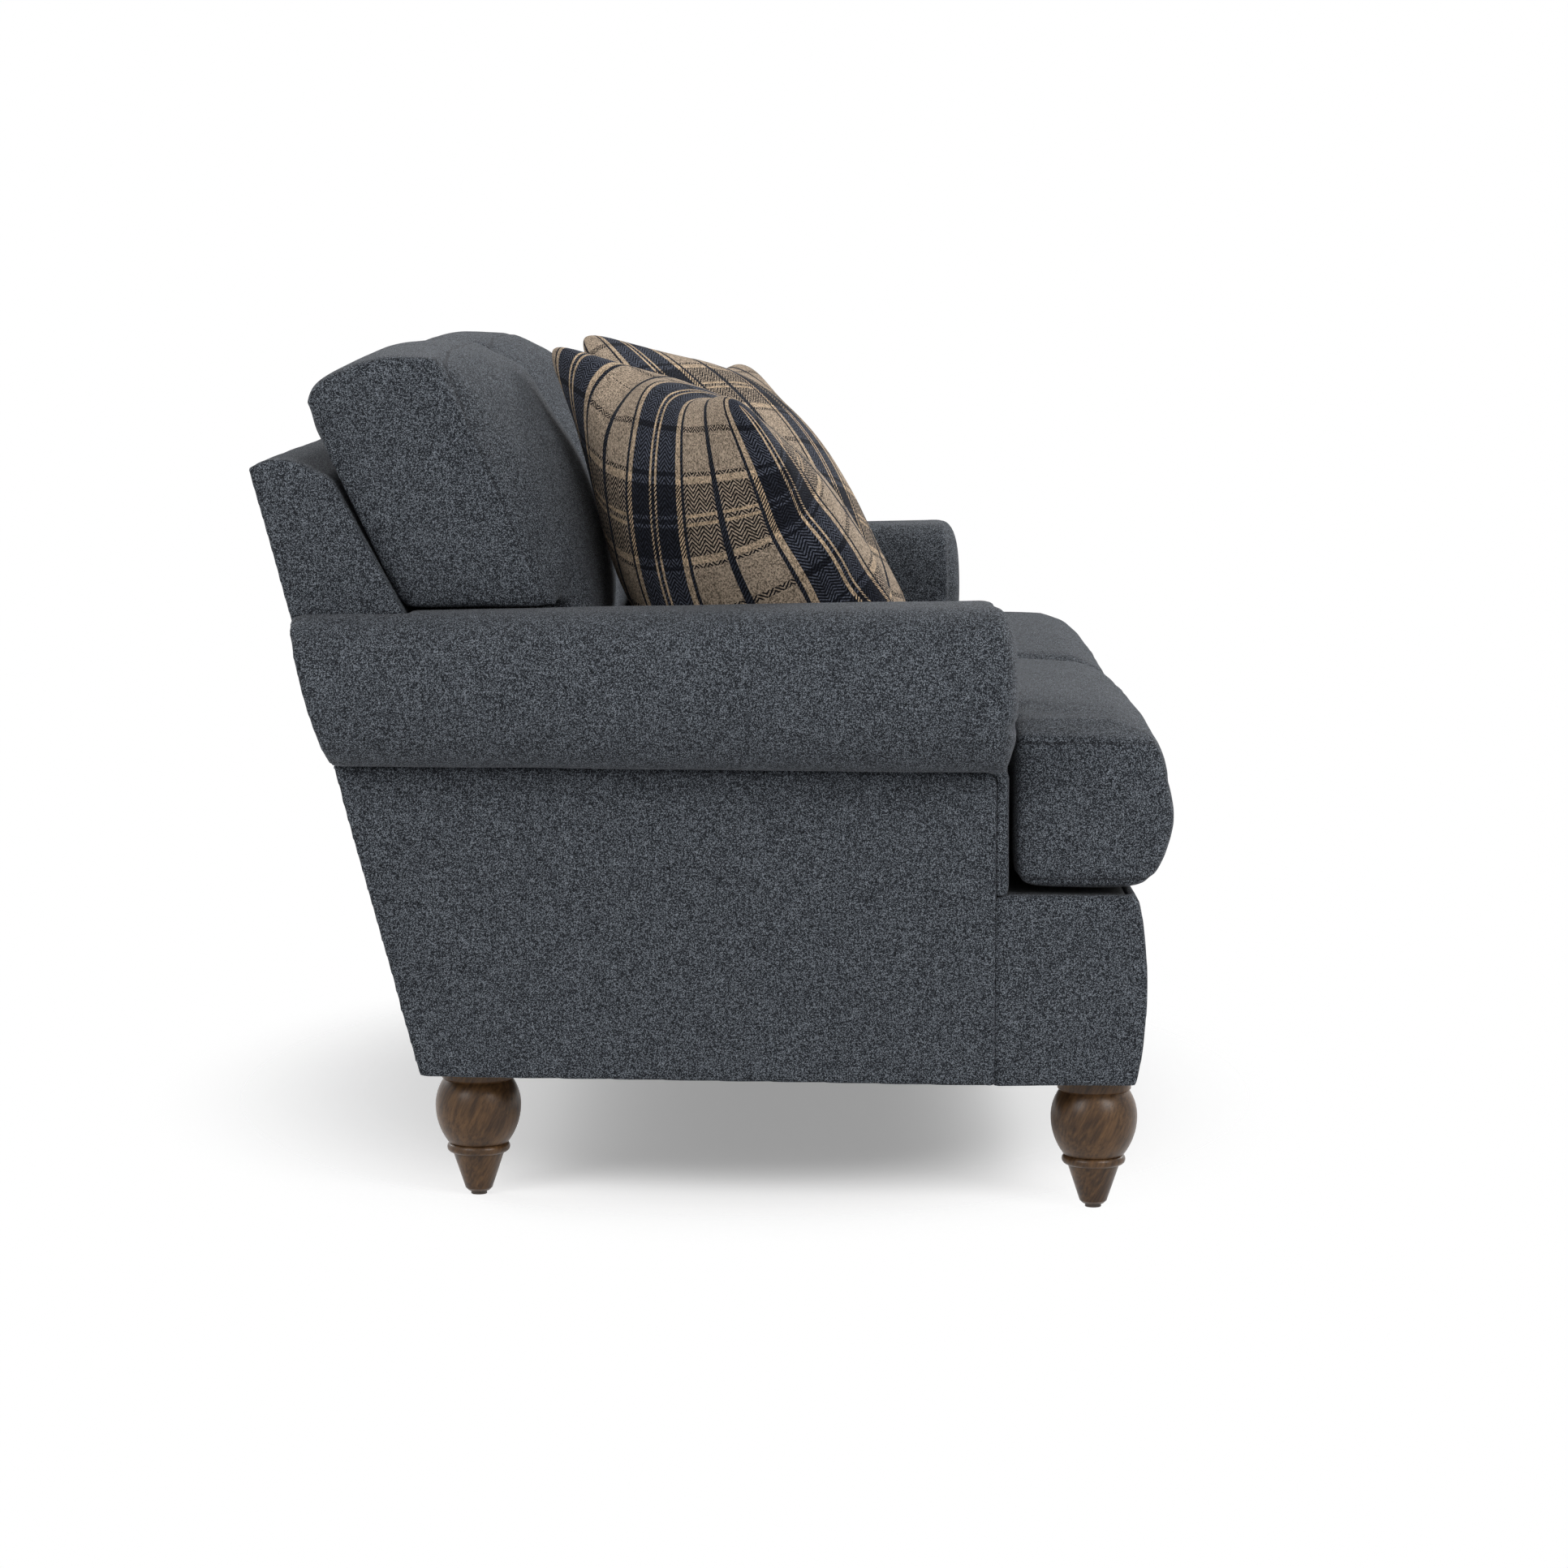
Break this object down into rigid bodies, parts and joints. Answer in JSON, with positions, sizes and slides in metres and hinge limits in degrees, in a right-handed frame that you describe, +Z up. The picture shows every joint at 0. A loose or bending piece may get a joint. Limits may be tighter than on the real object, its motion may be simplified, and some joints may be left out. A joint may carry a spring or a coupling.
{
  "type": "loveseat",
  "caption": "Two-seat upholstered loveseat with rolled arms, raked back, loose T-shaped seat and back cushions, turned wooden legs and plaid throw pillows.",
  "frame": {"origin": "middle of the bounding box at floor level", "axes": "+Z up; the loveseat faces -Y; +X runs across the width, to the right of someone facing it"},
  "size_m": [1.676, 0.9743, 0.9247],
  "materials": {
    "upholstery": "matte woven",
    "plaid_cloth": "matte woven plaid",
    "deck_cloth": "matte",
    "dust_cloth": "matte",
    "webbing": "matte",
    "leg_wood": "satin",
    "frame_wood": "raw",
    "steel": "satin",
    "glide_plastic": "matte"
  },
  "bodies": {
    "frame": {"arm_facing_left": "upholstery", "arm_facing_right": "upholstery", "arm_front_post_left": "frame_wood", "arm_front_post_right": "frame_wood", "arm_roll_left": "upholstery", "arm_roll_right": "upholstery", "arm_top_rail_left": "frame_wood", "arm_top_rail_right": "frame_wood", "back_end_left": "upholstery", "back_end_right": "upholstery", "back_post_left": "frame_wood", "back_post_right": "frame_wood", "back_seat_rail": "frame_wood", "back_top_pad": "upholstery", "back_top_rail": "frame_wood", "back_upright": "frame_wood", "back_webbing": "webbing", "border_return_left": "upholstery", "border_return_right": "upholstery", "corner_blocks": "frame_wood", "dust_cover": "dust_cloth", "front_border": "upholstery", "front_rail": "frame_wood", "front_return_rail_left": "frame_wood", "front_return_rail_right": "frame_wood", "inside_back": "upholstery", "leg_bolts": "steel", "leg_front_left": "leg_wood", "leg_front_right": "leg_wood", "leg_glides": "glide_plastic", "leg_plates": "steel", "leg_rear_left": "leg_wood", "leg_rear_right": "leg_wood", "outside_arm_left": "upholstery", "outside_arm_right": "upholstery", "outside_back": "upholstery", "rear_rail": "frame_wood", "seat_deck": "deck_cloth", "seat_springs": "steel", "seat_stretcher": "frame_wood", "side_rail_left": "frame_wood", "side_rail_right": "frame_wood", "spring_clips": "steel", "spring_ties": "steel"},
    "seat_cushion_left": {"seat_cushion_left": "upholstery"},
    "seat_cushion_right": {"seat_cushion_right": "upholstery"},
    "back_cushion_left": {"back_cushion_left": "upholstery"},
    "back_cushion_right": {"back_cushion_right": "upholstery"},
    "throw_pillow_left": {"throw_pillow_left": "plaid_cloth"},
    "throw_pillow_right": {"throw_pillow_right": "plaid_cloth"}
  },
  "joints": [
    {"name": "seat_cushion_left_slide", "type": "slide", "parent": "frame", "child": "seat_cushion_left", "axis": [0, -1, 0], "range_m": [0, 0.6]},
    {"name": "back_cushion_left_lift", "type": "slide", "parent": "frame", "child": "back_cushion_left", "axis": [0, 0.4305, 0.9026], "range_m": [0, 0.45]},
    {"name": "throw_pillow_left_lift", "type": "slide", "parent": "seat_cushion_left", "child": "throw_pillow_left", "axis": [0, 0, 1], "range_m": [0, 0.4]},
    {"name": "seat_cushion_right_slide", "type": "slide", "parent": "frame", "child": "seat_cushion_right", "axis": [0, -1, 0], "range_m": [0, 0.6]},
    {"name": "back_cushion_right_lift", "type": "slide", "parent": "frame", "child": "back_cushion_right", "axis": [0, 0.4305, 0.9026], "range_m": [0, 0.45]},
    {"name": "throw_pillow_right_lift", "type": "slide", "parent": "seat_cushion_right", "child": "throw_pillow_right", "axis": [0, 0, 1], "range_m": [0, 0.4]}
  ]
}
